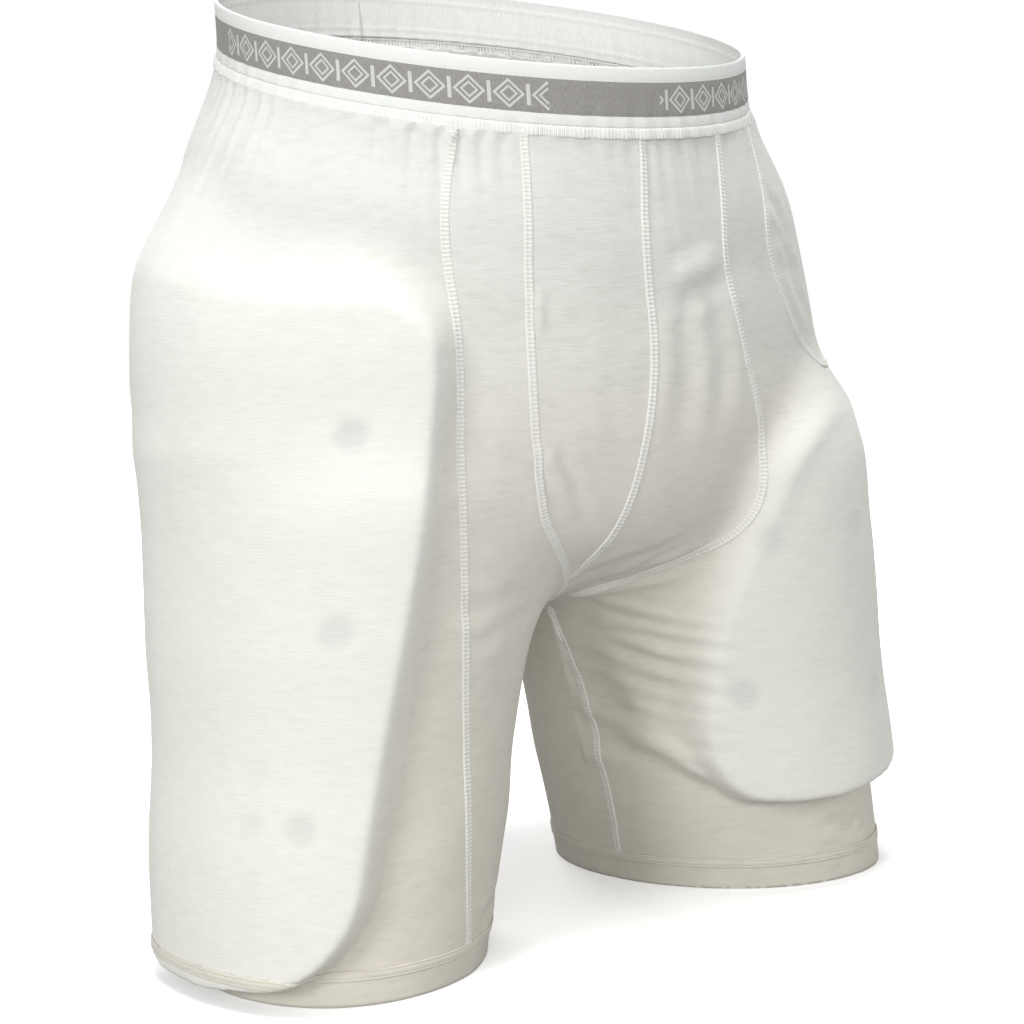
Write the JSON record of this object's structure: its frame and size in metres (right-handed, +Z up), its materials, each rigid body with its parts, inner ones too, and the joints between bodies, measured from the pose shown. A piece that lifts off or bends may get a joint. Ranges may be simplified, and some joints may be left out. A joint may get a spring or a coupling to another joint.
{
  "type": "padded impact shorts",
  "caption": "White cotton jersey shorts with a padded pocket on each thigh, a cup pouch, raised flatlock seams and a wide striped elastic waistband.",
  "frame": {"origin": "middle of the bounding box, at the height of the leg hems", "axes": "+Z up, the front faces -Y, the wearer's right leg is at -X"},
  "size_m": [0.4376, 0.2796, 0.5274],
  "materials": {
    "jersey": "matt cotton jersey",
    "mesh_lining": "fine knitted lining",
    "waist_elastic": "woven elastic, white with a grey stripe",
    "ribbed_binding": "ribbed edge of the elastic",
    "pad_foam": "closed-cell foam",
    "pad_board": "moulded pad face",
    "seam_thread": "flatlock thread",
    "label_tape": "blank woven tape"
  },
  "bodies": {
    "root": {"right_side_panel": "jersey", "right_front_panel": "jersey", "right_pouch_panel": "jersey", "left_pouch_panel": "jersey", "left_front_panel": "jersey", "left_side_panel": "jersey", "right_seat_panel": "jersey", "left_seat_panel": "jersey", "right_hem_band": "jersey", "left_hem_band": "jersey", "cup_pocket_lining": "mesh_lining", "right_pocket_lining": "mesh_lining", "left_pocket_lining": "mesh_lining", "waistband_elastic": "waist_elastic", "waistband_binding": "ribbed_binding", "right_pad_foam": "pad_foam", "left_pad_foam": "pad_foam", "right_pad_board": "pad_board", "left_pad_board": "pad_board", "right_front_seam": "seam_thread", "right_pouch_seam": "seam_thread", "left_pouch_seam": "seam_thread", "centre_front_seam": "seam_thread", "left_front_seam": "seam_thread", "right_back_seam": "seam_thread", "left_back_seam": "seam_thread", "centre_back_seam": "seam_thread", "right_inner_leg_seam": "seam_thread", "left_inner_leg_seam": "seam_thread", "care_label": "label_tape"}
  },
  "joints": []
}
